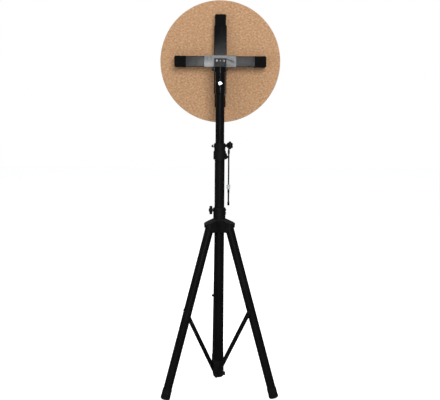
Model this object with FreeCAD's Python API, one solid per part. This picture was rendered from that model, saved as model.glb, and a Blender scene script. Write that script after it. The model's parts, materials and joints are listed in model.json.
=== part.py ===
import FreeCAD, Part
import math
import os
from FreeCAD import Vector

# Large round practice pad on a folding telescopic tripod: pad upright, pole partly
# drawn out, legs open. Millimetres, +Z up, origin on the floor in the middle of the
# overall box. The playing face points to +Y, the support side of the pad faces -Y.
# Everything is drawn about the main tube's axis and moved by SHIFT_Y as it is saved.

SHIFT_Y = -58.0
GAP = 0.05               # running clearance on a radius
M5_R, M6_R = 2.5, 3.0    # screw radii

# main dimensions shared between sections
PAD_Z = 1344.0           # height of the disc centre
BOARD_Y0 = 66.0          # support side of the board
BOARD_T = 12.0
BOARD_Y1 = BOARD_Y0 + BOARD_T
SCREW_X, SCREW_Z = 14.0, 1347.0      # pair of screws through bracket, bars and board
SCREW_XS = (-SCREW_X, SCREW_X)
TILT_Z = 1313.5
TILT_BOLT_R = 4.0
POLE_R, POLE_WALL = 17.5, 1.6
POLE_Z0, POLE_Z1 = 560.0, 1296.0
TUBE_R, TUBE_WALL = 20.0, 1.6
TUBE_BORE = TUBE_R - TUBE_WALL
TUBE_Z0, TUBE_Z1 = 114.0, 993.0
LEG_PIVOT_R, LEG_PIVOT_Z = 46.8, 679.1
LEG_AZ = {name: 92.56 + 120.0 * k for k, name in enumerate(("front", "left", "right"))}


# ---------------------------------------------------------------- helpers
def cyl(start, direction, radius, length):
    return Part.makeCylinder(radius, length, Vector(*start), Vector(*direction))


def cyl_x(x, y, z, radius, length):
    return cyl((x, y, z), (1, 0, 0), radius, length)


def cyl_y(x, y, z, radius, length):
    return cyl((x, y, z), (0, 1, 0), radius, length)


def cyl_z(x, y, z, radius, length):
    return cyl((x, y, z), (0, 0, 1), radius, length)


def pipe(z0, z1, radius, wall):
    outside = cyl_z(0, 0, z0, radius, z1 - z0)
    return outside.cut(cyl_z(0, 0, z0 - 1, radius - wall, z1 - z0 + 2))


def box(x0, x1, y0, y1, z0, z1):
    return Part.makeBox(x1 - x0, y1 - y0, z1 - z0, Vector(x0, y0, z0))


def fuse(shape, *others):
    for other in others:
        shape = shape.fuse(other)
    return shape.removeSplitter()


def cut(shape, *tools):
    for tool in tools:
        shape = shape.cut(tool)
    return shape


def closed_face(points):
    points = [Vector(*p) for p in points]
    return Part.Face(Part.makePolygon(points + [points[0]]))


def prism(points, sweep):
    return closed_face(points).extrude(Vector(*sweep))


def lathe(profile):
    """Solid of revolution about Z from (radius, height) points."""
    face = closed_face([(r, 0, z) for r, z in profile])
    return face.revolve(Vector(0, 0, 0), Vector(0, 0, 1), 360)


def hexagon(start, direction, across_flats, length):
    """Hexagonal prism that starts at the centre of its first face."""
    radius = across_flats / math.sqrt(3)
    angles = [math.radians(60 * k) for k in range(6)]
    solid = prism([(radius * math.cos(a), radius * math.sin(a), 0) for a in angles],
                  (0, 0, length))
    turn = FreeCAD.Rotation(Vector(0, 0, 1), Vector(*direction))
    solid.Placement = FreeCAD.Placement(Vector(*start), turn)
    return solid


def rounded(shape, radius, chosen):
    """Fillet the edges whose (middle point, direction, length) are chosen."""
    picked = []
    for edge in shape.Edges:
        # guards degenerate edges, which have no curve to evaluate
        try:
            middle = (edge.FirstParameter + edge.LastParameter) / 2
            mid = edge.valueAt(middle)
            along = edge.tangentAt(middle)
        except Exception:
            continue
        if chosen(mid, along, edge.Length):
            picked.append(edge)
    return shape.makeFillet(radius, picked)


def head_x(x, y, z, radius, length, fillet):
    """Disc along X with its +X rim rounded."""
    return rounded(cyl_x(x, y, z, radius, length), fillet,
                   lambda mid, along, size: mid.x > x + length - 0.1)


def head_y(x, y, z, radius, length, fillet):
    """Disc along Y with its -Y rim rounded."""
    return rounded(cyl_y(x, y, z, radius, length), fillet,
                   lambda mid, along, size: mid.y < y + 0.1)


def turned(shape, degrees):
    copy = shape.copy()
    copy.rotate(Vector(0, 0, 0), Vector(0, 0, 1), degrees)
    return copy


def round_legs(shape):
    """Copies of a shape drawn with +X as a leg's outward direction, one per leg."""
    return [turned(shape, azimuth) for azimuth in LEG_AZ.values()]


def save(name, shape):
    solids = shape.Solids
    if not shape.isValid() or not solids:
        raise SystemExit("bad shape: " + name)
    if len(solids) == 1:
        shape = solids[0]
    shape = shape.copy()
    shape.translate(Vector(0, SHIFT_Y, 0))
    shape.exportStep("parts/%s.step" % name)


os.makedirs("parts", exist_ok=True)

# ---------------------------------------------------------------- pad
PAD_R = 241.3            # 19 in disc
FACE_T = 5.0             # bonded playing layer
BARREL_R, FLANGE_R = 4.0, 9.0        # tee nuts, flange flush with the +Y side
NUT_FIT = 0.1
NUT_Y1 = BOARD_Y1 - 0.1

board = cyl_y(0, BOARD_Y0, PAD_Z, PAD_R, BOARD_T)
nuts = []
for x in SCREW_XS:
    board = cut(board,
                cyl_y(x, BOARD_Y0 - 1, SCREW_Z, BARREL_R + NUT_FIT, BOARD_T + 2),
                cyl_y(x, BOARD_Y1 - 1.6, SCREW_Z, FLANGE_R + NUT_FIT, 3))
    nut = fuse(cyl_y(x, BOARD_Y0 + 0.4, SCREW_Z, BARREL_R, NUT_Y1 - BOARD_Y0 - 0.4),
               cyl_y(x, NUT_Y1 - 1.45, SCREW_Z, FLANGE_R, 1.45))
    nuts.append(nut.cut(cyl_y(x, BOARD_Y0 - 1, SCREW_Z, M5_R + GAP, BOARD_T - 1)))
save("pad_board", board)
save("tee_nuts", Part.makeCompound(nuts))
save("playing_surface", cyl_y(0, BOARD_Y1, PAD_Z, PAD_R, FACE_T))

# ---------------------------------------------------------------- crossed support bars
BAR_L = 365.0            # over the rubber boots
BAR_HALF_W = 21.0
BAR_WALL = 1.6
BAR_EDGE_R = 2.5
BAR_INSET = 2.0          # bar end inside its boot
HBAR_Y0, HBAR_Y1 = 26.5, 41.0
HBAR_Z1 = PAD_Z + BAR_HALF_W
VBAR_Y0, VBAR_Y1 = 43.0, 64.0
VBAR_Z = 1346.0          # middle of the upright bar
CHANNEL_HALF_W, CHANNEL_WALL = 25.0, 2.0
CHANNEL_Z0, CHANNEL_Z1 = 1219.5, 1482.4
BOOT_L, BOOT_HALF_W = 45.8, 22.3
BOOT_END = 1.95          # rubber beyond the cavity


def screw_holes(shape):
    return cut(shape, *[cyl_y(x, 0, SCREW_Z, M5_R + 0.25, 90) for x in SCREW_XS])


bar_half_l = BAR_L / 2 - BAR_INSET
half_bore = BAR_HALF_W - BAR_WALL

bar = box(-bar_half_l, bar_half_l, HBAR_Y0, HBAR_Y1, PAD_Z - BAR_HALF_W, HBAR_Z1)
bar = rounded(bar, BAR_EDGE_R, lambda mid, along, size: abs(along.x) > 0.9)
bar = bar.cut(box(-bar_half_l - 1, bar_half_l + 1, HBAR_Y0 + BAR_WALL, HBAR_Y1 - BAR_WALL,
                  PAD_Z - half_bore, PAD_Z + half_bore))
save("horizontal_bar", screw_holes(bar))

bar = box(-BAR_HALF_W, BAR_HALF_W, VBAR_Y0, VBAR_Y1, VBAR_Z - bar_half_l, VBAR_Z + bar_half_l)
bar = rounded(bar, BAR_EDGE_R, lambda mid, along, size: abs(along.z) > 0.9)
bar = bar.cut(box(-half_bore, half_bore, VBAR_Y0 + BAR_WALL, VBAR_Y1 - BAR_WALL,
                  VBAR_Z - BAR_L / 2, VBAR_Z + BAR_L / 2))
save("vertical_bar", screw_holes(bar))

# channel over the upright bar, open towards the board
channel = box(-CHANNEL_HALF_W, CHANNEL_HALF_W, VBAR_Y0 - CHANNEL_WALL, BOARD_Y0,
              CHANNEL_Z0, CHANNEL_Z1)
channel = rounded(channel, 3.0,
                  lambda mid, along, size: abs(along.z) > 0.9 and mid.y < VBAR_Y0)
half_inside = CHANNEL_HALF_W - CHANNEL_WALL
channel = channel.cut(box(-half_inside, half_inside, VBAR_Y0, BOARD_Y0 + 1,
                          CHANNEL_Z0 - 1, CHANNEL_Z1 + 1))
save("vertical_channel", screw_holes(channel))


def boot(axis, centre, side, bar_y0, bar_y1, skin):
    """Rubber boot on one bar end; the bar runs along axis 0 (X) or 2 (Z)."""
    outer = centre + side * BAR_L / 2
    inner = outer - side * BOOT_L

    def block(half, y0, y1, *ends):
        low, high = sorted(ends)
        if axis == 2:
            return box(-half, half, y0, y1, low, high)
        return box(low, high, y0, y1, PAD_Z - half, PAD_Z + half)

    shell_y0 = bar_y0 - skin
    shell = block(BOOT_HALF_W, shell_y0, BOARD_Y0, inner, outer)
    shell = rounded(shell, 5.0, lambda mid, along, size:
                    abs(along.y) > 0.9 and abs(mid[axis] - outer) < 1)
    shell = rounded(shell, 1.4, lambda mid, along, size:
                    mid.y < shell_y0 + 0.1 and abs(mid[axis] - inner) > 0.5)
    return shell.cut(block(BAR_HALF_W + GAP, bar_y0 - GAP, bar_y1 + GAP,
                           inner - side, outer - side * BOOT_END))


save("boot_top", boot(2, VBAR_Z, 1, VBAR_Y0, VBAR_Y1, 1.7))
save("boot_bottom", boot(2, VBAR_Z, -1, VBAR_Y0, VBAR_Y1, 1.7))
save("boot_left", boot(0, 0, -1, HBAR_Y0, HBAR_Y1, 1.5))
save("boot_right", boot(0, 0, 1, HBAR_Y0, HBAR_Y1, 1.5))

# ---------------------------------------------------------------- tilting bracket
PLATE_HALF_L = 63.0
PLATE_Y0, PLATE_Y1 = 23.5, HBAR_Y0
PLATE_Z0, PLATE_Z1 = 1323.0, 1368.0
LEDGE_Y1 = 38.0          # ledge over the horizontal bar
FORK_Y0 = PLATE_Y0 - 2.0
FORK_Z1 = PLATE_Z0 + 34.0
EAR_X0, EAR_X1 = 21.7, 24.7
EAR_T = EAR_X1 - EAR_X0
EAR_R = 11.0

bracket = box(-PLATE_HALF_L, PLATE_HALF_L, PLATE_Y0, PLATE_Y1, PLATE_Z0, PLATE_Z1)
bracket = rounded(bracket, 3.0,
                  lambda mid, along, size: abs(along.y) > 0.9 and mid.z < PLATE_Z0 + 1)
bracket = fuse(bracket, box(-PLATE_HALF_L, PLATE_HALF_L, PLATE_Y0, LEDGE_Y1,
                            HBAR_Z1 + GAP, PLATE_Z1))
bracket = rounded(bracket, 2.0, lambda mid, along, size:
                  abs(along.x) > 0.9 and mid.y < PLATE_Y0 + 0.1 and mid.z > PLATE_Z1 - 0.1)
save("tilt_bracket", screw_holes(bracket))


def ear_tangent(x, corner_z, side):
    """Where the line from a plate corner touches the round end of an ear."""
    rise = corner_z - TILT_Z
    angle = math.atan2(rise, PLATE_Y0) + side * math.acos(EAR_R / math.hypot(PLATE_Y0, rise))
    return (x, EAR_R * math.cos(angle), TILT_Z + EAR_R * math.sin(angle))


# fork on the -Y side of the plate: a flat base with two ears that reach the tilt axis
fork = box(-EAR_X1, EAR_X1, FORK_Y0, PLATE_Y0, PLATE_Z0, FORK_Z1)
for x in (-EAR_X1, EAR_X0):
    web = prism([ear_tangent(x, PLATE_Z0, -1), (x, PLATE_Y0, PLATE_Z0),
                 (x, PLATE_Y0, FORK_Z1), ear_tangent(x, FORK_Z1, 1), (x, 0, TILT_Z)],
                (EAR_T, 0, 0))
    fork = fuse(fork, web, cyl_x(x, 0, TILT_Z, EAR_R, EAR_T))
fork = cut(fork, cyl_x(-40, 0, TILT_Z, TILT_BOLT_R + GAP, 80),
           cyl_y(0, 10, SCREW_Z, 3.0, 20))
save("tilt_fork", screw_holes(fork))

screws = []
for x in SCREW_XS:
    head = head_y(x, FORK_Y0 - 2.8, SCREW_Z, 4.6, 2.8, 1.6)
    head = head.cut(hexagon((x, FORK_Y0 - 3.0, SCREW_Z), (0, 1, 0), 3.0, 2.0))
    screws.append(fuse(cyl_y(x, FORK_Y0, SCREW_Z, M5_R, BOARD_Y1 - 2.0 - FORK_Y0), head))
save("centre_screws", Part.makeCompound(screws))

# tilt bolt: round head on +X, flanged nut on -X
save("tilt_bolt", fuse(cyl_x(-33.5, 0, TILT_Z, TILT_BOLT_R, 33.5 + EAR_X1 + 1),
                       head_x(EAR_X1 + 0.02, 0, TILT_Z, 7.2, 3.8, 2.6)))
nut_seat = (-EAR_X1 - 0.02, 0, TILT_Z)
nut = fuse(hexagon(nut_seat, (-1, 0, 0), 13.0, 6.6), cyl(nut_seat, (-1, 0, 0), 7.6, 1.2))
save("tilt_nut", nut.cut(cyl_x(-40, 0, TILT_Z, TILT_BOLT_R + 0.02, 30)))

# ---------------------------------------------------------------- socket on the pole
SOCKET_R = 21.0
SOCKET_Z0, SOCKET_Z1 = 1219.0, 1322.0
SOCKET_SCREW_Z = 1257.8
SOCKET_HEAD_R = 8.25
PLUG_Z0 = POLE_Z1 + 1.0

bolt_hole = cyl_x(-30, 0, TILT_Z, TILT_BOLT_R + GAP, 60)
socket = cyl_z(0, 0, SOCKET_Z0, SOCKET_R, SOCKET_Z1 - SOCKET_Z0)
socket = rounded(socket, 1.2, lambda mid, along, size: size > 100)
save("head_socket", cut(socket,
                        cyl_z(0, 0, SOCKET_Z0 - 1, POLE_R + GAP, 120),
                        bolt_hole,
                        cyl_y(0, -30, SOCKET_SCREW_Z, M6_R + GAP, 20),
                        cyl_y(0, -30, SOCKET_SCREW_Z, SOCKET_HEAD_R + 0.1, 11.2)))
plug = cyl_z(0, 0, PLUG_Z0, POLE_R, SOCKET_Z1 - 0.6 - PLUG_Z0)
save("socket_plug", plug.cut(bolt_hole))
save("socket_screw", fuse(head_y(0, -23.8, SOCKET_SCREW_Z, SOCKET_HEAD_R, 5.0, 1.8),
                          cyl_y(0, -19.0, SOCKET_SCREW_Z, M6_R, 1.4)))

# ---------------------------------------------------------------- pole and main tube
POLE_HOLE_R = 3.6
POLE_HOLE_ZS = (860.0, 960.0, 1060.0, 1160.0)
BUSH_BORE = POLE_R - POLE_WALL - 1

save("inner_pole", cut(pipe(POLE_Z0, POLE_Z1, POLE_R, POLE_WALL),
                       *[cyl_x(-30, 0, z, POLE_HOLE_R, 60) for z in POLE_HOLE_ZS]))

# bush round and under the pole's lower end: radius, height
save("pole_bush", lathe([
    (POLE_R + 0.02, POLE_Z0), (POLE_R + 0.02, POLE_Z0 + 38), (TUBE_BORE - 0.7, POLE_Z0 + 38),
    (TUBE_BORE - GAP, POLE_Z0 + 37), (TUBE_BORE - GAP, POLE_Z0 - 3),
    (TUBE_BORE - 1.2, POLE_Z0 - 4.2), (BUSH_BORE, POLE_Z0 - 4.2), (BUSH_BORE, POLE_Z0)]))
save("main_tube", pipe(TUBE_Z0, TUBE_Z1, TUBE_R, TUBE_WALL))

# ---------------------------------------------------------------- height clamp
COLLAR_Z0, COLLAR_R = 957.4, 25.4
COLLAR_BORE = TUBE_R + 0.03
NECK_Z1, NECK_R = 1001.0, 22.4
RING_Z1, RING_R = 1020.5, 22.8
RING_BORE = 19.55
BOSS_X0, BOSS_L, BOSS_Z = 20.5, 9.6, 967.1
KNOB_Z = 1010.8
KNOB_AZ = 45.0           # the knob points to +X and 45 deg towards +Y
EYE_X = -27.4

# collar bonded on the tube, with a screw boss on +X and a rounded tongue on -Y
collar = lathe([
    (COLLAR_BORE, COLLAR_Z0), (23.8, COLLAR_Z0), (24.9, COLLAR_Z0 + 1.0),
    (COLLAR_R, COLLAR_Z0 + 3.0), (COLLAR_R, TUBE_Z1 - 7.0), (COLLAR_R - 0.6, TUBE_Z1 - 4.0),
    (NECK_R + 0.6, TUBE_Z1 - 0.6), (NECK_R, TUBE_Z1 + 0.6), (NECK_R, NECK_Z1),
    (RING_BORE, NECK_Z1), (RING_BORE, TUBE_Z1), (COLLAR_BORE, TUBE_Z1)])
boss = fuse(cyl_x(BOSS_X0, 0, BOSS_Z, 7.9, BOSS_L), box(BOSS_X0, 29.0, -5.0, 5.0, BOSS_Z, 981.0))
tongue = cyl_y(0, -24.4, 962.0, 8.6, 6.0)
collar = fuse(collar, boss, tongue)
save("top_collar", cut(collar,
                       cyl_z(0, 0, COLLAR_Z0 - 20, COLLAR_BORE, TUBE_Z1 - COLLAR_Z0 + 20),
                       cyl_x(18, 0, BOSS_Z, M6_R + 0.03, 20)))
save("collar_screw", fuse(cyl_x(20.3, 0, BOSS_Z, M6_R, 12),
                          hexagon((BOSS_X0 + BOSS_L + GAP, 0, BOSS_Z), (1, 0, 0), 9.0, 6.4)))

# clamp ring with a moulded eye on -X
ring = lathe([
    (RING_BORE, NECK_Z1), (RING_R - 0.5, NECK_Z1), (RING_R, NECK_Z1 + 0.5),
    (RING_R, 1009.3), (21.9, 1010.1), (21.9, 1011.5), (RING_R, 1012.3),
    (RING_R, RING_Z1 - 0.6), (RING_R - 0.6, RING_Z1), (RING_BORE, RING_Z1)])
knob_seat = turned(cyl_x(20.6, 0, KNOB_Z, 6.8, 8.0), KNOB_AZ)
eye = rounded(cyl_y(EYE_X, -2.5, KNOB_Z, 5.9, 5.0), 0.6,
              lambda mid, along, size: size > 20)
eye_neck = box(EYE_X, -21.0, -2.5, 2.5, KNOB_Z - 5.0, KNOB_Z + 5.0)
ring = fuse(ring, knob_seat, eye, eye_neck)
save("clamp_ring", cut(ring,
                       cyl_y(-25.6, -10, KNOB_Z + 0.6, 2.2, 20),
                       cyl_z(0, 0, NECK_Z1 - 1, RING_BORE, 30),
                       turned(cyl_x(15, 0, KNOB_Z, M6_R + GAP, 20), KNOB_AZ)))

# bush round the pole inside the ring, split on -X
bush_r = RING_BORE - GAP
bush = lathe([
    (POLE_R + GAP, TUBE_Z1), (bush_r, TUBE_Z1), (bush_r, RING_Z1 + 0.02),
    (21.4, RING_Z1 + 0.02), (21.4, RING_Z1 + 1.5), (20.9, RING_Z1 + 2.0),
    (POLE_R + GAP, RING_Z1 + 2.0)])
save("clamp_bush", bush.cut(box(-30, -15, -0.9, 0.9, TUBE_Z1 + 6, RING_Z1 + 5)))

# star knob on its stud: a long stem that carries the cord's loop, then the grip
STEM_X0 = 30.0
GRIP_X, GRIP_T = 55.5, 6.2           # underside of the grip and its thickness
LOBE_AT, LOBE_R = 12.2, 4.3

knob = cyl_x(STEM_X0, 0, 0, 6.0, GRIP_X + 1.0 - STEM_X0)
knob = fuse(knob, cyl_x(GRIP_X, 0, 0, 13.0, GRIP_T))
for k in range(6):
    angle = math.radians(60 * k + 30)
    knob = fuse(knob, cyl_x(GRIP_X, LOBE_AT * math.cos(angle), LOBE_AT * math.sin(angle),
                            LOBE_R, GRIP_T))
knob = rounded(knob, 1.2, lambda mid, along, size: mid.x > GRIP_X + GRIP_T - 0.1)
knob = fuse(knob, head_x(GRIP_X + GRIP_T - 0.1, 0, 0, 8.0, 1.6, 1.0))
groove = cyl_x(GRIP_X - 1.0, 0, 0, 11.6, 4.0).cut(cyl_x(GRIP_X - 1.0, 0, 0, 7.6, 4.0))
knob = cut(knob, groove, cyl_x(STEM_X0 - 1.0, 0, 0, M6_R + 0.02, 25.6))
knob.translate(Vector(0, 0, KNOB_Z))
save("lock_knob", turned(knob, KNOB_AZ))
save("lock_stud", turned(cyl_x(19.6, 0, KNOB_Z, M6_R, 34.6), KNOB_AZ))

# ---------------------------------------------------------------- cord and pin
CORD_AT = 51.9           # distance of the cord loop along the knob stem
CORD_R, LOOP_R = 3.4, 9.7
CORD_Z0 = 822.0

stem_x, stem_y = math.cos(math.radians(KNOB_AZ)), math.sin(math.radians(KNOB_AZ))
cord_x, cord_y = CORD_AT * stem_x, CORD_AT * stem_y


def rounded_sleeve(z, radius, length, fillet):
    """Cylinder on the cord's line with both rims rounded."""
    return rounded(cyl_z(cord_x, cord_y, z, radius, length), fillet,
                   lambda mid, along, size: size > 20)


loop = Part.makeTorus(LOOP_R, CORD_R, Vector(cord_x, cord_y, KNOB_Z), Vector(stem_x, stem_y, 0))
cord = fuse(loop, cyl_z(cord_x, cord_y, CORD_Z0, CORD_R, KNOB_Z - LOOP_R - CORD_Z0))
whipping = rounded_sleeve(976.4, 4.6, 16.0, 0.8)
save("pin_cord", fuse(cord, whipping))
stop = rounded_sleeve(833.0, 8.0, 17.5, 2.6)
save("cord_stop", stop.cut(cyl_z(cord_x, cord_y, 820, CORD_R + GAP, 40)))

# hanging pin: radius, height
pin = lathe([(0, 764.4), (2.8, 764.4), (4.6, 766.5), (4.6, 778.5), (3.4, 780.5), (3.4, 816.0),
             (4.3, 817.0), (4.3, 830.4), (4.0, 831.0), (0, 831.0)])
pin = pin.cut(cyl_z(0, 0, CORD_Z0 - 0.1, CORD_R + GAP, 12))
pin.translate(Vector(cord_x, cord_y, 0))
save("safety_pin", pin)

# ---------------------------------------------------------------- sliding leg hub
HUB_Z0, HUB_ROOF, HUB_Z1 = 664.0, 716.0, 761.5
HUB_R = 24.8
ARM_HALF = 21.5
CHEEK_IN = 18.7          # half the space between an arm's cheeks
HUB_KNOB_Z = 751.0
HUB_SCREW_ZS = (738.0, 751.8)
# envelope of the sloping roof: radius, height
ROOF = [(0, 600), (69.5, 600), (69.5, 698.8), (66.0, 700.6), (26.0, HUB_ROOF), (0, HUB_ROOF)]
# arch cut under each arm's outer end: distance outward, height
ARCH = [(48.0, 640), (75, 640), (75, 685.4), (65.0, 684.8), (60.0, 683.0), (56.0, 679.6),
        (52.4, 674.4), (49.8, 668.5), (48.0, 663.9)]


def roof(drop):
    """Space under the roof lowered by drop; the bottom stays."""
    return lathe([(r, z - (drop if z > 650 else 0)) for r, z in ROOF])


def arm(half, start, z0, z1):
    """Round-ended arm along +X, centred on the leg pivot at its end."""
    return fuse(box(start, LEG_PIVOT_R, -half, half, z0, z1),
                cyl_z(LEG_PIVOT_R, 0, z0, half, z1 - z0))


hub = cyl_z(0, 0, HUB_Z0, HUB_R, HUB_ROOF - HUB_Z0)
for tool in round_legs(arm(ARM_HALF, 0, HUB_Z0, HUB_ROOF)):
    hub = hub.fuse(tool)
hub = hub.common(roof(0.0))
# lid slightly wider than the arms
lid = cyl_z(0, 0, 690, HUB_R + 5, 40)
for tool in round_legs(arm(ARM_HALF + 0.9, 0, 690, 730)):
    lid = lid.fuse(tool)
hub = hub.fuse(lid.common(roof(0.0)).cut(roof(4.0)))

pocket = arm(CHEEK_IN, 25.6, 640, 730).common(roof(3.6))
arch = prism([(x, -40, z) for x, z in ARCH], (0, 80, 0))
pivot_hole = cyl_y(LEG_PIVOT_R, -40, LEG_PIVOT_Z, M6_R + 0.03, 80)
for azimuth in LEG_AZ.values():
    hub = cut(hub, *[turned(tool, azimuth) for tool in (pocket, arch, pivot_hole)])

sleeve = lathe([(0, 700), (HUB_R, 700), (HUB_R, HUB_Z1 - 1.2), (HUB_R - 1.2, HUB_Z1),
                (0, HUB_Z1)])
knob_boss = cyl_x(-26.5, 0, HUB_KNOB_Z, 7.5, 10)
rib = box(20.0, 25.6, -4.5, 4.5, 731.0, 758.5)
hub = fuse(hub, sleeve, knob_boss, rib)
save("leg_hub", cut(hub,
                    cyl_z(0, 0, 600, TUBE_R + GAP, 200),
                    cyl_x(-40, 0, HUB_KNOB_Z, M6_R + GAP, 30),
                    *[cyl_x(15, 0, z, M5_R + 0.03, 20) for z in HUB_SCREW_ZS]))

save("hub_screws", Part.makeCompound([
    fuse(head_x(25.62, 0, z, 4.2, 2.2, 1.2), cyl_x(20.3, 0, z, M5_R, 6.0))
    for z in HUB_SCREW_ZS]))

pivot_bolt = fuse(
    cyl_y(LEG_PIVOT_R, -24.0, LEG_PIVOT_Z, M6_R, 51.5),
    head_y(LEG_PIVOT_R, -25.0, LEG_PIVOT_Z, 6.2, 3.48, 2.2),
    hexagon((LEG_PIVOT_R, ARM_HALF + 0.02, LEG_PIVOT_Z), (0, 1, 0), 10.0, 4.6))
save("leg_pivot_bolts", Part.makeCompound(round_legs(pivot_bolt)))

# upright wing knob on -X
WING_X, WING_T = -40.4, 12.0
WING_END_Z, WING_HALF = 13.0, 4.6
wing = fuse(box(WING_X, WING_X + WING_T, -WING_HALF, WING_HALF, -WING_END_Z, WING_END_Z),
            cyl_x(WING_X, 0, WING_END_Z, WING_HALF, WING_T),
            cyl_x(WING_X, 0, -WING_END_Z, WING_HALF, WING_T))
wing = rounded(wing, 1.2, lambda mid, along, size:
               mid.x < WING_X + 0.1 or mid.x > WING_X + WING_T - 0.1)
core = rounded(cyl_x(-43.3, 0, 0, 7.2, 16.2), 1.4, lambda mid, along, size: mid.x < -43.2)
knob = fuse(core, wing).cut(cyl_x(-35.0, 0, 0, M6_R + 0.02, 10))
knob.translate(Vector(0, 0, HUB_KNOB_Z))
save("hub_knob", knob)
save("hub_knob_stud", cyl_x(-34.8, 0, HUB_KNOB_Z, M6_R, 14.7))

# ---------------------------------------------------------------- legs and braces
# drawn with +X as the leg's outward direction
LEG_R, LEG_WALL = 17.5, 1.5
LEG_TOP = -10.0          # along the leg from its pivot
FOOT_AT = 254.7          # where a leg axis meets the floor
FOOT_R = 19.5
BRACE_Z = 349.1          # brace pivot on the leg
STRAP_HALF_W, STRAP_T = 8.75, 2.5
STRAP_OFF = 21.4         # middle of the strap beside the leg axis, on local -Y
STRAP_Y0, STRAP_Y1 = -STRAP_OFF - STRAP_T / 2, -STRAP_OFF + STRAP_T / 2
RIVET_X, RIVET_Z = 3.0, 52.5         # brace pivot on the foot casting

spread = FOOT_AT - LEG_PIVOT_R
tilt = math.atan2(spread, LEG_PIVOT_Z)
leg_length = math.hypot(spread, LEG_PIVOT_Z)
leg_end = leg_length - 12.0
leg_dir = (math.sin(tilt), 0, -math.cos(tilt))
brace_x = LEG_PIVOT_R + (LEG_PIVOT_Z - BRACE_Z) / math.cos(tilt) * math.sin(tilt)


def leg_cyl(start, radius, length):
    """Cylinder on the leg axis that starts at a distance from the pivot."""
    base = (LEG_PIVOT_R + leg_dir[0] * start, 0, LEG_PIVOT_Z + leg_dir[2] * start)
    return cyl(base, leg_dir, radius, length)


leg_tube = cut(leg_cyl(LEG_TOP, LEG_R, leg_end - LEG_TOP),
               leg_cyl(LEG_TOP - 1.0, LEG_R - LEG_WALL, leg_length + 5.0),
               cyl_y(LEG_PIVOT_R, -30, LEG_PIVOT_Z, M6_R + 0.06, 60),
               cyl_y(brace_x, -30, BRACE_Z, M6_R + 0.03, 60))

foot = leg_cyl(leg_length - 43.0, FOOT_R, 41.0)
foot = rounded(foot, 5.0, lambda mid, along, size: size > 100 and mid.z < 20)
foot = rounded(foot, 1.0, lambda mid, along, size: size > 100 and mid.z > 25)
# bore for the tube, then the sole cut flat on the floor
foot = cut(foot, leg_cyl(leg_length - 44.0, LEG_R + GAP, 32.05),
           box(150, 350, -60, 60, -60, 0))

# bolt with its head outside the strap and a spacer between strap and leg
brace_bolt = fuse(
    cyl_y(brace_x, -25.0, BRACE_Z, M6_R, 49.5),
    head_y(brace_x, STRAP_Y0 - GAP - 3.4, BRACE_Z, 6.2, 3.4, 2.2),
    cyl_y(brace_x, STRAP_Y1 + GAP, BRACE_Z, 6.2, -STRAP_Y1 - LEG_R - 2 * GAP),
    hexagon((brace_x, LEG_R + 0.03, BRACE_Z), (0, 1, 0), 10.0, 5.0))

# flat bar with round ends
low_pivot = Vector(RIVET_X, STRAP_Y0, RIVET_Z)
high_pivot = Vector(brace_x, STRAP_Y0, BRACE_Z)
strap_dir = (high_pivot - low_pivot).normalize()
edge = Vector(-strap_dir.z, 0, strap_dir.x) * STRAP_HALF_W
strap = prism([low_pivot + edge, high_pivot + edge, high_pivot - edge, low_pivot - edge],
              (0, STRAP_T, 0))
strap = fuse(strap, cyl_y(*low_pivot, STRAP_HALF_W, STRAP_T),
             cyl_y(*high_pivot, STRAP_HALF_W, STRAP_T))
strap = cut(strap, cyl_y(brace_x, STRAP_Y0 - 1, BRACE_Z, M6_R + 0.06, STRAP_T + 2),
            cyl_y(RIVET_X, STRAP_Y0 - 1, RIVET_Z, M6_R + 0.02, STRAP_T + 2))

# rivet carried by the strap: its shank rides in an upright slot of the foot casting
rivet = fuse(cyl_y(RIVET_X, STRAP_Y0 - 2.0, RIVET_Z, M6_R, -13.4 - (STRAP_Y0 - 2.0)),
             head_y(RIVET_X, STRAP_Y0 - 6.4, RIVET_Z, 8.2, 6.38, 2.8))

for name, azimuth in LEG_AZ.items():
    for piece, shape in (("leg_tube", leg_tube), ("rubber_foot", foot),
                         ("brace_bolt", brace_bolt), ("brace_strap", strap),
                         ("brace_rivet", rivet)):
        save(piece + "_" + name, turned(shape, azimuth))

# ---------------------------------------------------------------- foot casting
CAST_Z0, CAST_R = 42.8, 22.3
CAST_FLAT = 19.25        # flat face under each strap, from the axis
SLOT_X, SLOT_HALF = RIVET_X + 0.8, 4.5
SLOT_Z0, SLOT_Z1 = RIVET_Z - 1.6, RIVET_Z + 13.8     # centres of the slot's round ends
SLOT_Y0, SLOT_Y1 = -CAST_FLAT - 1, -12.4

casting = cyl_z(0, 0, CAST_Z0, CAST_R, TUBE_Z0 - CAST_Z0)
casting = rounded(casting, 7.0, lambda mid, along, size: size > 100 and mid.z < CAST_Z0 + 1)
lug = box(0, 18.0, -CAST_FLAT, -4.0, CAST_Z0 + 7.0, TUBE_Z0 - 14.0)
lug = rounded(lug, 4.0, lambda mid, along, size: abs(along.z) > 0.9 and mid.x > 17)
lug = rounded(lug, 3.0, lambda mid, along, size: abs(along.y) > 0.9 and mid.x > 17)
for tool in round_legs(lug):
    casting = casting.fuse(tool)
casting = casting.removeSplitter()

flat = box(-40, 40, -60, -CAST_FLAT, 30, 150)
slot = fuse(box(SLOT_X - SLOT_HALF, SLOT_X + SLOT_HALF, SLOT_Y0, SLOT_Y1, SLOT_Z0, SLOT_Z1),
            *[cyl_y(SLOT_X, SLOT_Y0, z, SLOT_HALF, SLOT_Y1 - SLOT_Y0)
              for z in (SLOT_Z0, SLOT_Z1)])
for azimuth in LEG_AZ.values():
    casting = cut(casting, turned(flat, azimuth), turned(slot, azimuth))
# hollow spigot inside the main tube
casting = fuse(casting, cyl_z(0, 0, TUBE_Z0 - 1, TUBE_BORE - 0.03, 21.0))
save("foot_casting", casting.cut(cyl_z(0, 0, TUBE_Z0 + 4, 14.0, 30)))
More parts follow.
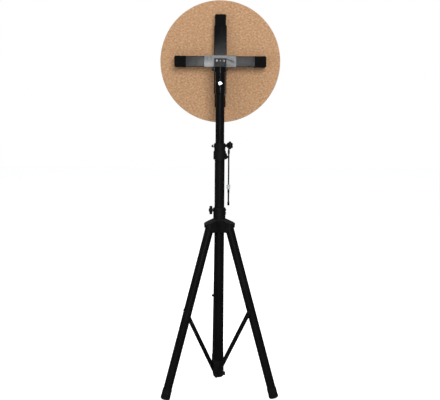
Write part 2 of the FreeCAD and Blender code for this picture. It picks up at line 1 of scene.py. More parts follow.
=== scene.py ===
"""A drum practice pad on a tripod stand.

The pad is an upright disc whose playing face looks along +Y. It sits on a cross of two bars
with rubber boots, above a pole and three legs; -X is left and +X is right. Sizes are in
millimetres, measured from the main tube's axis and the floor. TO_WORLD turns them into
metres and sets the tube at its place in the CAD frame.
"""
import bpy
import bmesh
import json
import math
import random
from mathutils import Matrix, Vector, noise


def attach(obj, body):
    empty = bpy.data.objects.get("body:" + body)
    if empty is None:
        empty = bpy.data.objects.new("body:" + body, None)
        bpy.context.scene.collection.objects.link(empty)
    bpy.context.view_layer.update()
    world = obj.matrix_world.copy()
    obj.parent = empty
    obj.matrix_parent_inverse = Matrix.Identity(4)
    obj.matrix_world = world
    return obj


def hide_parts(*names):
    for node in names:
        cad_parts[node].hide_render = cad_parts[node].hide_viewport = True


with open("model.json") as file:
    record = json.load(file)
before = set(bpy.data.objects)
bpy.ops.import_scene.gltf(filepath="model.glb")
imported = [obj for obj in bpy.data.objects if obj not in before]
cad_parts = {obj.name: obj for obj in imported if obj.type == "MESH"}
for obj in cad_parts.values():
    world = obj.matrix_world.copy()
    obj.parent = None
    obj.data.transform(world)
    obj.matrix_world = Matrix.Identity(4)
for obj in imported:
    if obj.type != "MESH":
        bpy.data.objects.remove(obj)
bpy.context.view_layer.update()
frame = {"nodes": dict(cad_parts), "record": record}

random.seed(7)

MM = 0.001                           # one millimetre in metres
TUBE_Y = -58.0                       # the main tube's axis in the CAD frame
TO_WORLD = Matrix.Translation((0, TUBE_Y * MM, 0)) @ Matrix.Scale(MM, 4)
NODES = frame["nodes"]

X_AXIS, Y_AXIS, Z_AXIS = Vector((1, 0, 0)), Vector((0, 1, 0)), Vector((0, 0, 1))

# pad: a fibreboard with a rubber sheet on its +Y face
PAD_R, PAD_Z = 241.3, 1344.0
BOARD_BACK_Y, BOARD_FACE_Y = 66.0, 78.0
SHEET_BACK_Y, SHEET_FACE_Y = 78.02, 83.0

# legs: compass angle from +Y towards -X, in degrees, and the line from pivot to floor
LEG_ANGLE = {"front": 2.56, "left": 122.56, "right": 242.56}
PIVOT_R, PIVOT_Z, FLOOR_R = 46.8, 679.1, 254.7
LEG_LENGTH = math.hypot(FLOOR_R - PIVOT_R, PIVOT_Z)
LEG_TILT = math.atan2(FLOOR_R - PIVOT_R, PIVOT_Z)

# star knob, and the cord that hangs from its neck
STAR_ANGLE = math.radians(45.0)
STAR_DIR = Vector((math.cos(STAR_ANGLE), math.sin(STAR_ANGLE), 0))
STAR_Z = 1010.8
CORD_AT = STAR_DIR * 51.9

T_KNOB_Z = 751.0


# ================================================================ material helpers
def srgb(*levels):
    """Linear colour from 0-255 sRGB levels."""
    return tuple((c / 255 / 12.92) if c <= 10 else ((c / 255 + 0.055) / 1.055) ** 2.4
                 for c in levels)


def scaled(colour, factor, lift=0.0):
    return tuple(c * factor + lift for c in colour)


def mix_shader(tree, fac, first, second):
    """Mix Shader node: first where fac is 0, second where it is 1."""
    mixer = tree.nodes.new("ShaderNodeMixShader")
    for socket, source in zip(mixer.inputs, (fac, first, second)):
        tree.links.new(source, socket)
    return mixer.outputs[0]


DUST = (0.32, 0.30, 0.28)
INPUT_NAMES = {
    "metal": "Metallic", "normal": "Normal", "coat": "Coat Weight",
    "coat_rough": "Coat Roughness", "ior": "IOR", "sss": "Subsurface Weight",
    "sss_radius": "Subsurface Radius", "sss_scale": "Subsurface Scale",
    "trans": "Transmission Weight", "sheen": "Sheen Weight",
}


class Material:
    """One procedural material around a Principled shader, in object coordinates (metres)."""

    def __init__(self, name):
        self.material = bpy.data.materials.new(name)
        self.material.use_nodes = True
        self.tree = self.material.node_tree
        self.tree.nodes.clear()
        self.output = self.node("ShaderNodeOutputMaterial")
        self.shader = self.node("ShaderNodeBsdfPrincipled")
        self.link(self.shader.outputs[0], self.output.inputs[0])
        self.coords = self.node("ShaderNodeTexCoord").outputs["Object"]

    def node(self, kind, **settings):
        node = self.tree.nodes.new(kind)
        for key, value in settings.items():
            setattr(node, key, value)
        return node

    def link(self, source, socket):
        self.tree.links.new(source, socket)

    def put(self, socket, value):
        if isinstance(value, bpy.types.NodeSocket):
            self.link(value, socket)
        else:
            socket.default_value = value

    # ---- patterns
    def stretch(self, scale, turn_y=0.0):
        """Coordinates scaled per axis and turned about Y, in radians."""
        mapping = self.node("ShaderNodeMapping")
        self.link(self.coords, mapping.inputs["Vector"])
        mapping.inputs["Scale"].default_value = scale
        mapping.inputs["Rotation"].default_value = (0, turn_y, 0)
        return mapping.outputs[0]

    def noise(self, scale, detail, rough, at=None, warp=0.0):
        texture = self.node("ShaderNodeTexNoise")
        self.link(at or self.coords, texture.inputs["Vector"])
        texture.inputs["Scale"].default_value = scale
        texture.inputs["Detail"].default_value = detail
        texture.inputs["Roughness"].default_value = rough
        texture.inputs["Distortion"].default_value = warp
        return texture.outputs["Fac"]

    def cells(self, scale, at=None, feature="F1", out="Distance"):
        texture = self.node("ShaderNodeTexVoronoi", feature=feature)
        self.link(at or self.coords, texture.inputs["Vector"])
        texture.inputs["Scale"].default_value = scale
        return texture.outputs[out]

    def axes(self, vector):
        split = self.node("ShaderNodeSeparateXYZ")
        self.link(vector, split.inputs[0])
        return split.outputs

    # ---- arithmetic
    def math(self, operation, first, second=None, clamp=False):
        node = self.node("ShaderNodeMath", operation=operation, use_clamp=clamp)
        self.put(node.inputs[0], first)
        if second is not None:
            self.put(node.inputs[1], second)
        return node.outputs[0]

    def add(self, first, second):
        return self.math("ADD", first, second)

    def subtract(self, first, second):
        return self.math("SUBTRACT", first, second)

    def times(self, first, second, clamp=False):
        return self.math("MULTIPLY", first, second, clamp)

    def remap(self, value, span=(0.3, 0.7), to=(0.0, 1.0)):
        """Carry span onto to, clamped; the default span holds most of a noise's range."""
        node = self.node("ShaderNodeMapRange")
        self.link(value, node.inputs[0])
        for i, limit in enumerate((*span, *to)):
            node.inputs[i + 1].default_value = limit
        return node.outputs[0]

    def wobble(self, scale, amount):
        """Noise about zero, amount wide."""
        return self.times(self.subtract(self.noise(scale, detail=4, rough=0.6), 0.5), amount)

    # ---- colour
    def mix(self, under, over, fac):
        node = self.node("ShaderNodeMix", data_type="RGBA", blend_type="MIX")
        self.put(node.inputs[0], fac)
        for socket, colour in ((node.inputs[6], under), (node.inputs[7], over)):
            self.put(socket, (*colour, 1) if isinstance(colour, tuple) else colour)
        return node.outputs[2]

    def blend(self, under, over, mask, span=(0.3, 0.7), to=(0.0, 1.0)):
        return self.mix(under, over, fac=self.remap(mask, span, to))

    # ---- masks and surface effects
    def pad_radius(self):
        """Distance from the pad's axis."""
        axes = self.axes(self.coords)
        rise = self.subtract(axes["Z"], PAD_Z * MM)
        return self.math("SQRT", self.add(self.times(axes["X"], axes["X"]),
                                          self.times(rise, rise)))

    def worn_edges(self, under, over, radius, gain, amount):
        """Show the colour over in patches along edges, found by a bevelled normal."""
        bevel = self.node("ShaderNodeBevel", samples=4)
        bevel.inputs["Radius"].default_value = radius
        normal = self.node("ShaderNodeNewGeometry").outputs["Normal"]
        dot = self.node("ShaderNodeVectorMath", operation="DOT_PRODUCT")
        self.link(bevel.outputs[0], dot.inputs[0])
        self.link(normal, dot.inputs[1])
        edge = self.times(self.subtract(1.0, dot.outputs["Value"]), gain, clamp=True)
        patches = self.remap(self.noise(scale=230, detail=4, rough=0.7), span=(0.42, 0.62))
        edge = self.times(edge, patches, clamp=True)
        return self.mix(under, over, fac=self.times(edge, amount))

    def facing_up(self, span):
        """0 on walls, 1 on faces that look up; span is the normal's Z."""
        normal = self.node("ShaderNodeNewGeometry").outputs["Normal"]
        return self.remap(self.axes(normal)["Z"], span)

    def dusted(self, under, amount, colour=DUST, facing=(0.35, 1.0), scale=55, least=0.2):
        """Uneven dust on upward faces; least is the thinnest it gets."""
        uneven = self.remap(self.noise(scale, detail=5, rough=0.7), (0.35, 0.7), (least, 1.0))
        dust = self.times(self.facing_up(facing), uneven)
        return self.mix(under, colour, fac=self.times(dust, amount))

    def bump(self, height, strength, distance):
        node = self.node("ShaderNodeBump")
        node.inputs["Strength"].default_value = strength
        node.inputs["Distance"].default_value = distance
        self.link(height, node.inputs["Height"])
        return node.outputs["Normal"]

    def finish(self, colour, rough, spec, **more):
        self.put(self.shader.inputs["Base Color"], colour)
        self.put(self.shader.inputs["Roughness"], rough)
        self.put(self.shader.inputs["Specular IOR Level"], spec)
        for key, value in more.items():
            self.put(self.shader.inputs[INPUT_NAMES[key]], value)
        return self.material


# ================================================================ materials
def make_board():
    """Pressed tan fibreboard: matted fibres, flecks, soft tone drift, a pale rubbed rim."""
    mat = Material("board_fibre")
    drift = mat.noise(scale=9, detail=3, rough=0.5)
    layers = [mat.noise(scale=60, detail=6, rough=0.68, at=mat.stretch(stretch, turn_y=turn))
              for stretch, turn in (((14, 1, 3), 0.35), ((3, 1, 14), -0.5))]
    fibre = mat.times(mat.add(*layers), 0.5)
    fine = mat.noise(scale=900, detail=3, rough=0.7)
    colour = mat.blend(srgb(162, 124, 91), srgb(206, 166, 130), fibre, span=(0.36, 0.64))
    colour = mat.mix(colour, srgb(190, 150, 114), fac=0.62)
    colour = mat.blend(colour, srgb(196, 156, 120), drift, to=(0.0, 0.35))
    # mottling, darker then lighter
    mottle = mat.noise(scale=120, detail=4, rough=0.6, at=mat.stretch((1, 1, 1.25), turn_y=0.4))
    colour = mat.blend(colour, srgb(150, 112, 79), mottle, span=(0.36, 0.50), to=(0.62, 0.0))
    colour = mat.blend(colour, srgb(222, 184, 147), mottle, span=(0.52, 0.66), to=(0.0, 0.64))
    # small dark flecks and larger pale ones
    dark_fleck = mat.cells(scale=340, at=mat.stretch((1, 1, 1)))
    colour = mat.blend(colour, srgb(128, 92, 62), dark_fleck, span=(0.10, 0.02), to=(0.0, 0.35))
    pale_fleck = mat.cells(scale=150, at=mat.stretch((1.7, 1, 0.8), turn_y=0.6))
    colour = mat.blend(colour, srgb(226, 196, 164), pale_fleck, span=(0.09, 0.03), to=(0.0, 0.28))
    colour = mat.blend(colour, srgb(150, 112, 80), fine, to=(0.0, 0.16))
    rim = mat.remap(mat.pad_radius(), span=(0.2370, 0.2412), to=(0.0, 0.75))
    patches = mat.remap(mat.noise(scale=70, detail=4, rough=0.6), to=(0.6, 1.0))
    colour = mat.mix(colour, srgb(196, 168, 142), fac=mat.times(rim, patches))
    height = mat.add(mat.times(fibre, 0.7), mat.times(fine, 0.4))
    return mat.finish(colour, rough=mat.remap(fibre, to=(0.72, 0.9)), spec=0.25,
                      normal=mat.bump(height, strength=0.22, distance=0.0004))


def make_face_rubber():
    """Dark grey rubber with a fine grain and a dotted, paler, smoother worn middle."""
    mat = Material("face_rubber_grain")
    grain = mat.cells(scale=1500, feature="SMOOTH_F1")
    cloud = mat.noise(scale=24, detail=5, rough=0.6)
    fine = mat.noise(scale=420, detail=3, rough=0.7)
    colour = mat.blend(srgb(70, 71, 74), srgb(86, 87, 90), cloud)
    colour = mat.blend(colour, srgb(54, 55, 58), fine, span=(0.35, 0.7), to=(0.0, 0.35))
    radius = mat.add(mat.pad_radius(), mat.wobble(scale=14, amount=0.09))
    worn = mat.remap(radius, span=(0.02, 0.15), to=(1.0, 0.0))
    dots = mat.remap(mat.cells(scale=90), span=(0.28, 0.10))
    # a quarter of the wear is even, the rest lies in dots
    mark = mat.times(worn, mat.add(0.25, mat.times(dots, 0.75)))
    colour = mat.mix(colour, srgb(122, 121, 121), fac=mat.times(mark, 0.35))
    rough = mat.subtract(mat.remap(fine, to=(0.62, 0.8)), mat.times(mark, 0.18))
    height = mat.add(grain, mat.times(fine, 0.5))
    return mat.finish(colour, rough=rough, spec=0.35, sheen=0.08,
                      normal=mat.bump(height, strength=0.25, distance=0.0002))


def make_coat(name, paint, rough, spec, peel=520, peel_bump=0.10, wear=0.5, dust=0.03,
              scuffs=1.0, edge=0.0008):
    """Painted steel: orange peel, drifting gloss, rubbed edges, a little dust."""
    mat = Material(name)
    orange_peel = mat.noise(scale=peel, detail=2, rough=0.5)
    drift = mat.noise(scale=7, detail=4, rough=0.6)
    scuff = mat.noise(scale=38, detail=6, rough=0.72, at=mat.stretch((1, 1, 0.22)))
    colour = mat.blend(scaled(paint, 0.8), scaled(paint, 1.25), drift, span=(0.35, 0.65))
    colour = mat.blend(colour, scaled(paint, 2.6, lift=0.004), scuff, span=(0.60, 0.76),
                       to=(0.0, 0.22 * scuffs))
    colour = mat.worn_edges(colour, (0.11, 0.11, 0.115), radius=edge, gain=7.0, amount=wear)
    colour = mat.dusted(colour, amount=dust)
    gloss = mat.add(mat.remap(drift, to=(rough - 0.05, rough + 0.05)),
                    mat.remap(scuff, span=(0.45, 0.75), to=(0.0, 0.12 * scuffs)))
    return mat.finish(colour, rough=gloss, spec=spec, coat=0.0, coat_rough=0.12,
                      normal=mat.bump(orange_peel, strength=peel_bump, distance=0.0002))


def make_grey_plate():
    """Galvanised plate: cloudy spangle, drawn streaks, one dark smear and a painted reflection,
    one pale patch.
    """
    mat = Material("grey_plate_galvanised")
    to_grey = mat.node("ShaderNodeRGBToBW")
    mat.link(mat.cells(scale=160, out="Color"), to_grey.inputs[0])
    spangle = to_grey.outputs[0]
    cloud = mat.noise(scale=26, detail=5, rough=0.62)
    streak = mat.noise(scale=34, detail=5, rough=0.65, at=mat.stretch((0.35, 1, 3.2), turn_y=0.5))
    colour = mat.blend(srgb(118, 118, 119), srgb(146, 147, 149), spangle, span=(0.2, 0.8))
    colour = mat.blend(colour, srgb(172, 173, 174), cloud, span=(0.35, 0.68), to=(0.0, 0.7))
    colour = mat.blend(colour, srgb(74, 74, 78), streak, span=(0.56, 0.72), to=(0.0, 0.55))
    # dark smear on the +X side, falling outwards at a slope of 0.42 along a line in X and Z
    axes = mat.axes(mat.coords)
    x, z = axes["X"], axes["Z"]
    line = mat.add(mat.add(z, mat.times(x, 0.42)), mat.wobble(scale=45, amount=0.006))
    off_line = mat.math("ABSOLUTE", mat.subtract(line, 1.3642))
    band = mat.remap(off_line, span=(0.001, 0.0042), to=(1.0, 0.0))
    gate = mat.times(mat.remap(x, span=(0.020, 0.028)),
                     mat.remap(x, span=(0.050, 0.058), to=(1.0, 0.0)))
    colour = mat.mix(colour, srgb(48, 48, 52), fac=mat.times(mat.times(band, gate), 0.82))
    # painted reflection: a pale patch low on the -X side
    pale = mat.times(mat.remap(x, span=(-0.016, -0.030)), mat.remap(z, span=(1.352, 1.338)))
    colour = mat.mix(colour, srgb(196, 198, 198), fac=mat.times(pale, 0.45))
    colour = mat.worn_edges(colour, srgb(205, 205, 205), radius=0.0010, gain=7.0, amount=0.5)
    rough = mat.add(mat.remap(cloud, to=(0.34, 0.5)),
                    mat.remap(streak, span=(0.4, 0.7), to=(0.0, 0.12)))
    height = mat.add(mat.times(spangle, 0.35), mat.noise(scale=300, detail=3, rough=0.6))
    return mat.finish(colour, rough=rough, metal=0.55, spec=0.45,
                      normal=mat.bump(height, strength=0.16, distance=0.0003))


def make_speckled():
    """Dark hammered finish with pale and black specks."""
    mat = Material("speckled_hammered")
    small = mat.cells(scale=900)
    large = mat.cells(scale=520)
    cloud = mat.noise(scale=60, detail=4, rough=0.6)
    colour = mat.blend(srgb(52, 52, 53), srgb(80, 80, 82), cloud)
    colour = mat.blend(colour, srgb(128, 128, 128), small, span=(0.24, 0.06), to=(0.0, 0.7))
    colour = mat.blend(colour, srgb(24, 24, 26), large, span=(0.16, 0.05), to=(0.0, 0.75))
    return mat.finish(colour, rough=mat.remap(cloud, to=(0.42, 0.6)), metal=0.1, spec=0.25,
                      normal=mat.bump(large, strength=0.35, distance=0.0004))


def make_rubber(name, dark, light, rough, dust, bloom, grain=700):
    """Moulded black rubber: fine pebble, pale bloom, scuffed corners."""
    mat = Material(name)
    pebble = mat.cells(scale=grain, feature="SMOOTH_F1")
    cloud = mat.noise(scale=30, detail=5, rough=0.65)
    fine = mat.noise(scale=1300, detail=2, rough=0.6)
    colour = mat.blend(dark, light, cloud)
    colour = mat.blend(colour, (0.16, 0.155, 0.15), mat.noise(scale=90, detail=5, rough=0.7),
                       span=(0.56, 0.75), to=(0.0, bloom))
    colour = mat.worn_edges(colour, (0.06, 0.06, 0.06), radius=0.0014, gain=6.0, amount=0.30)
    colour = mat.dusted(colour, amount=dust, colour=(0.33, 0.31, 0.28), facing=(0.3, 0.95),
                        scale=45, least=0.25)
    height = mat.add(pebble, mat.times(fine, 0.5))
    return mat.finish(colour, rough=mat.remap(cloud, to=(rough - 0.06, rough + 0.08)), spec=0.16,
                      normal=mat.bump(height, strength=0.22, distance=0.00025))


def make_plated(name, metal, rough, wear):
    """Plated steel: brushed micro lines, hazy clouds, darker spots."""
    mat = Material(name)
    cloud = mat.noise(scale=60, detail=5, rough=0.65)
    lines = mat.noise(scale=260, detail=4, rough=0.7, at=mat.stretch((1, 1, 7)))
    colour = mat.blend(scaled(metal, 0.82), metal, cloud, span=(0.35, 0.7))
    colour = mat.blend(colour, scaled(metal, 0.45), mat.noise(scale=420, detail=5, rough=0.75),
                       span=(0.6, 0.78), to=(0.0, wear))
    gloss = mat.add(mat.remap(cloud, to=(rough - 0.06, rough + 0.08)),
                    mat.remap(lines, span=(0.4, 0.7), to=(0.0, 0.10)))
    return mat.finish(colour, rough=gloss, metal=1.0, spec=0.5,
                      normal=mat.bump(lines, strength=0.12, distance=0.0002))


def make_plastic():
    """Black moulded plastic: fine texture, paler rubbed corners, thin even dust."""
    mat = Material("black_plastic_moulded")
    texture = mat.noise(scale=1400, detail=3, rough=0.65)
    cloud = mat.noise(scale=40, detail=4, rough=0.6)
    colour = mat.blend((0.0045, 0.0045, 0.005), (0.008, 0.008, 0.009), cloud)
    colour = mat.worn_edges(colour, (0.09, 0.09, 0.095), radius=0.0009, gain=7.0, amount=0.35)
    colour = mat.mix(colour, DUST, fac=mat.times(mat.facing_up(span=(0.4, 1.0)), 0.03))
    return mat.finish(colour, rough=mat.remap(cloud, to=(0.43, 0.55)), spec=0.18,
                      normal=mat.bump(texture, strength=0.28, distance=0.0002))


def make_cast():
    """Painted casting: sandy grain, blunt bright edges."""
    mat = Material("cast_black_grain")
    grain = mat.noise(scale=210, detail=6, rough=0.72)
    swell = mat.noise(scale=34, detail=4, rough=0.6)
    colour = mat.blend((0.005, 0.005, 0.0055), (0.010, 0.010, 0.011), swell)
    colour = mat.blend(colour, (0.035, 0.035, 0.037), grain, span=(0.62, 0.78), to=(0.0, 0.2))
    colour = mat.worn_edges(colour, (0.17, 0.17, 0.175), radius=0.0012, gain=6.5, amount=0.45)
    colour = mat.dusted(colour, amount=0.06)
    height = mat.add(grain, mat.times(swell, 1.5))
    return mat.finish(colour, rough=mat.remap(grain, to=(0.42, 0.58)), spec=0.2,
                      normal=mat.bump(height, strength=0.35, distance=0.0005))


def make_cord():
    """Black cord: fibres drawn along Z, with faded stretches."""
    mat = Material("cord_twist")
    fibre = mat.noise(scale=1800, detail=4, rough=0.7, at=mat.stretch((1, 1, 0.25)))
    fade = mat.noise(scale=40, detail=3, rough=0.6)
    colour = mat.blend((0.006, 0.006, 0.006), (0.026, 0.026, 0.025), fibre)
    colour = mat.blend(colour, (0.035, 0.034, 0.032), fade, span=(0.4, 0.7), to=(0.0, 0.3))
    return mat.finish(colour, rough=0.86, spec=0.12, sheen=0.06,
                      normal=mat.bump(fibre, strength=0.6, distance=0.0003))


def make_clear():
    """Milky clear plastic: inner haze, swirls, light scratches."""
    mat = Material("clear_plastic_milky")
    swirl = mat.noise(scale=70, detail=5, rough=0.6, warp=1.5)
    scratch = mat.noise(scale=500, detail=4, rough=0.75, at=mat.stretch((1, 1, 0.2)))
    colour = mat.blend(srgb(226, 230, 233), srgb(247, 248, 249), swirl, span=(0.35, 0.65))
    colour = mat.blend(colour, srgb(190, 194, 198), scratch, span=(0.62, 0.75), to=(0.0, 0.25))
    return mat.finish(colour, rough=mat.remap(scratch, to=(0.18, 0.34)), spec=0.5, trans=0.25,
                      ior=1.48, sss=0.25, sss_radius=(0.002, 0.002, 0.002), sss_scale=1.0,
                      normal=mat.bump(scratch, strength=0.10, distance=0.0002))


MATERIALS = {
    "board": make_board(),
    "face_rubber": make_face_rubber(),
    "black_coat": make_coat("black_coat_powder", paint=(0.0052, 0.0052, 0.0058), rough=0.36,
                            spec=0.11, wear=0.22),
    "gloss_black": make_coat("gloss_black_enamel", paint=(0.0042, 0.0042, 0.0048), rough=0.115,
                             spec=0.36, peel=300, peel_bump=0.035, wear=0.20, scuffs=0.5),
    "grey_plate": make_grey_plate(),
    "speckled": make_speckled(),
    "boot_rubber": make_rubber("boot_rubber_pebble", dark=(0.0024, 0.0024, 0.0027),
                               light=(0.0045, 0.0045, 0.0049), rough=0.64, dust=0.03, bloom=0.03),
    "zinc": make_plated("zinc_plate", metal=srgb(206, 207, 210), rough=0.32, wear=0.25),
    "nickel": make_plated("nickel_turned", metal=srgb(226, 226, 224), rough=0.2, wear=0.12),
    "black_plastic": make_plastic(),
    "cast_black": make_cast(),
    "cord": make_cord(),
    "clear_plastic": make_clear(),
    "black_screw": make_coat("black_oxide_screw", paint=(0.007, 0.007, 0.0075), rough=0.34,
                             spec=0.32, peel=900, peel_bump=0.12, wear=0.45, edge=0.0005,
                             dust=0.02),
    "foot_rubber": make_rubber("foot_rubber_pebble", dark=(0.005, 0.005, 0.0055),
                               light=(0.009, 0.009, 0.0095), rough=0.72, grain=480, dust=0.04,
                               bloom=0.04),
}


# ================================================================ CAD pieces kept as they are
def smooth_group(angle):
    """Geometry nodes that shade smooth everywhere except across sharp edges."""
    group = bpy.data.node_groups.new("smooth_by_angle_%d" % angle, "GeometryNodeTree")
    for way in ("INPUT", "OUTPUT"):
        group.interface.new_socket("Geometry", in_out=way, socket_type="NodeSocketGeometry")
    start = group.nodes.new("NodeGroupInput")
    end = group.nodes.new("NodeGroupOutput")
    faces = group.nodes.new("GeometryNodeSetShadeSmooth")
    faces.domain = "FACE"
    edges = group.nodes.new("GeometryNodeSetShadeSmooth")
    edges.domain = "EDGE"
    edges.inputs["Shade Smooth"].default_value = False
    edge_angle = group.nodes.new("GeometryNodeInputMeshEdgeAngle")
    sharp = group.nodes.new("FunctionNodeCompare")
    sharp.data_type = "FLOAT"
    sharp.operation = "GREATER_THAN"
    sharp.inputs[1].default_value = math.radians(angle)
    group.links.new(edge_angle.outputs["Unsigned Angle"], sharp.inputs[0])
    group.links.new(start.outputs[0], faces.inputs[0])
    group.links.new(faces.outputs[0], edges.inputs[0])
    group.links.new(sharp.outputs[0], edges.inputs["Selection"])
    group.links.new(edges.outputs[0], end.inputs[0])
    return group


SMOOTH = smooth_group(32)


def add_smooth(thing):
    thing.modifiers.new("smooth", "NODES").node_group = SMOOTH


# edge bevel widths; anything not listed takes the default
DEFAULT_BEVEL = 0.2
BEVEL = {
    "horizontal_bar": 0.35, "vertical_bar": 0.35, "vertical_channel": 0.45, "tilt_bracket": 0.45,
    "tilt_fork": 0.35, "tilt_nut": 0.35, "head_socket": 0.3, "inner_pole": 0.25,
    "main_tube": 0.3, "top_collar": 0.5, "collar_screw": 0.3, "clamp_ring": 0.35,
    "clamp_bush": 0.25, "foot_casting": 0.6, "leg_hub": 1.1, "leg_pivot_bolts": 0.3,
}
for piece, width in (("leg_tube", 0.25), ("brace_strap", 0.4), ("brace_bolt", 0.25),
                     ("brace_rivet", 0.25)):
    for side in LEG_ANGLE:
        BEVEL[piece + "_" + side] = width


def recorded_slots():
    """Material slot of each CAD node that the frame's record gives one to."""
    slots = {}
    for part in frame["record"].get("subparts", []):
        name = part.get("node") or part.get("name")
        slot = part.get("material") or part.get("material_slot") or part.get("slot")
        if name in NODES and slot in MATERIALS:
            slots[name] = slot
    return slots


def dress_node(name, node, slot):
    """Give a CAD piece its material, cleaned faces, bevelled edges and smooth shading."""
    attributes = node.data.attributes
    if "custom_normal" in attributes:
        attributes.remove(attributes["custom_normal"])
    node.data.materials.clear()
    node.data.materials.append(MATERIALS[slot])
    for polygon in node.data.polygons:
        polygon.material_index = 0
    weld = node.modifiers.new("weld", "WELD")
    weld.merge_threshold = 2e-6
    flat = node.modifiers.new("flat", "DECIMATE")
    flat.decimate_type = "DISSOLVE"
    flat.angle_limit = math.radians(0.4)
    bevel = node.modifiers.new("edge", "BEVEL")
    bevel.width = BEVEL.get(name, DEFAULT_BEVEL) * MM
    bevel.segments = 2
    bevel.limit_method = "ANGLE"
    bevel.angle_limit = math.radians(38)
    bevel.use_clamp_overlap = True
    bevel.miter_outer = "MITER_ARC"
    add_smooth(node)
    weighted = node.modifiers.new("flat_faces", "WEIGHTED_NORMAL")
    weighted.keep_sharp = True
    weighted.mode = "FACE_AREA"


node_slots = recorded_slots()
for node_name, cad_node in sorted(NODES.items()):
    dress_node(node_name, cad_node, node_slots.get(node_name, "black_coat"))


# ================================================================ mesh helpers
def add_object(name, mesh, slot, body, *replaced):
    """Turn a bmesh into a smooth object that rides on body and replaces CAD nodes."""
    bmesh.ops.recalc_face_normals(mesh, faces=mesh.faces)
    data = bpy.data.meshes.new(name)
    mesh.to_mesh(data)
    mesh.free()
    for polygon in data.polygons:
        polygon.use_smooth = True
    thing = bpy.data.objects.new(name, data)
    bpy.context.scene.collection.objects.link(thing)
    data.materials.append(MATERIALS[slot])
    add_smooth(thing)
    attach(thing, body)
    if replaced:
        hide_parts(*replaced)


def place(origin, x_dir, z_dir):
    """World matrix with local Z along z_dir and local X near x_dir, at origin."""
    z = Vector(z_dir).normalized()
    x = Vector(x_dir)
    x = (x - z * x.dot(z)).normalized()
    local = Matrix((x, z.cross(x), z)).transposed().to_4x4()
    local.translation = Vector(origin)
    return TO_WORLD @ local


def bridge(mesh, first, second):
    """Band of quads between two vertex rings."""
    for i in range(len(first)):
        j = (i + 1) % len(first)
        mesh.faces.new((first[i], first[j], second[j], second[i]))


def cap(mesh, ring, centre):
    """Fan of triangles from a ring to a new vertex at centre."""
    tip = mesh.verts.new(centre)
    for i in range(len(ring)):
        mesh.faces.new((ring[i], ring[(i + 1) % len(ring)], tip))


def loft(mesh, rings, matrix, ends="capped"):
    """Skin rings of points; the ends are "capped", "open", or "joined" to each other."""
    skin = [[mesh.verts.new(matrix @ point) for point in ring] for ring in rings]
    for first, second in zip(skin, skin[1:]):
        bridge(mesh, first, second)
    if ends == "joined":
        bridge(mesh, skin[-1], skin[0])
    if ends == "capped":
        for ring in (skin[0], skin[-1]):
            cap(mesh, ring, sum((vert.co for vert in ring), Vector()) / len(ring))
    return skin


def circle(z, segments, radius_at):
    """Ring about local Z whose radius is a function of the angle."""
    angles = [math.tau * i / segments for i in range(segments)]
    return [Vector((radius_at(angle) * math.cos(angle), radius_at(angle) * math.sin(angle), z))
            for angle in angles]


def turned(profile, segments, radial=lambda radius, z, angle: radius):
    """Rings about local Z from (radius, z) points; radial may alter the radius."""
    return [circle(z, segments, lambda angle: radial(radius, z, angle))
            for radius, z in profile]


def arc(centre_r, centre_z, radius, start, stop, steps):
    """Profile points along an arc; angles in degrees."""
    angles = [math.radians(start + (stop - start) * i / steps) for i in range(steps + 1)]
    return [(centre_r + radius * math.cos(angle), centre_z + radius * math.sin(angle))
            for angle in angles]


def path_frames(path, closed):
    """Two cross directions at each point, carried without twist, and the closing error."""
    count = len(path)
    tangents = []
    for i in range(count):
        if closed:
            step = path[(i + 1) % count] - path[i - 1]
        else:
            step = path[min(i + 1, count - 1)] - path[max(i - 1, 0)]
        tangents.append(step.normalized())

    def carry(normal, before, after):
        axis = before.cross(after)
        if axis.length > 1e-9:
            return Matrix.Rotation(before.angle(after), 3, axis) @ normal
        return normal

    normal = tangents[0].orthogonal().normalized()
    frames = []
    for i, tangent in enumerate(tangents):
        if i:
            normal = carry(normal, tangents[i - 1], tangent)
        normal = (normal - tangent * normal.dot(tangent)).normalized()
        frames.append((normal.copy(), tangent.cross(normal)))
    error = 0.0
    if closed:
        across, along = frames[0]
        last = carry(frames[-1][0], tangents[-1], tangents[0])
        error = math.atan2(last.dot(along), last.dot(across))
    return frames, error


def sweep(mesh, path, radius, sides, closed=False, strands=1, strand_offset=0.0, turns=0.0):
    """Tube along a path, or strands twisted round it by a number of turns."""
    lengths = [0.0]
    for start, stop in zip(path, path[1:]):
        lengths.append(lengths[-1] + (stop - start).length)
    total = lengths[-1] + ((path[0] - path[-1]).length if closed else 0.0)
    frames, error = path_frames(path, closed)
    for strand in range(strands):
        rings = []
        for point, length, (across, along) in zip(path, lengths, frames):
            phase = math.tau * (strand / strands + turns * length / total) - error * length / total
            centre = point + (across * math.cos(phase) + along * math.sin(phase)) * strand_offset
            angles = [math.tau * k / sides + phase for k in range(sides)]
            rings.append([centre + (across * math.cos(angle) + along * math.sin(angle)) * radius
                          for angle in angles])
        loft(mesh, rings, TO_WORLD, ends="joined" if closed else "capped")


# ================================================================ pad
PAD_MATRIX = place((0, 0, PAD_Z), X_AXIS, Y_AXIS)
PAD_SEGMENTS = 192
BOARD_RADII = (40, 80, 120, 160, 200, 225, 236)
SHEET_BACK_RADII = (60, 120, 180, 225, 238)
SHEET_FACE_RADII = (234, 226, 216, 204, 190, 175, 160, 145, 130, 115, 100, 85, 70, 55, 40, 25,
                    12, 4)


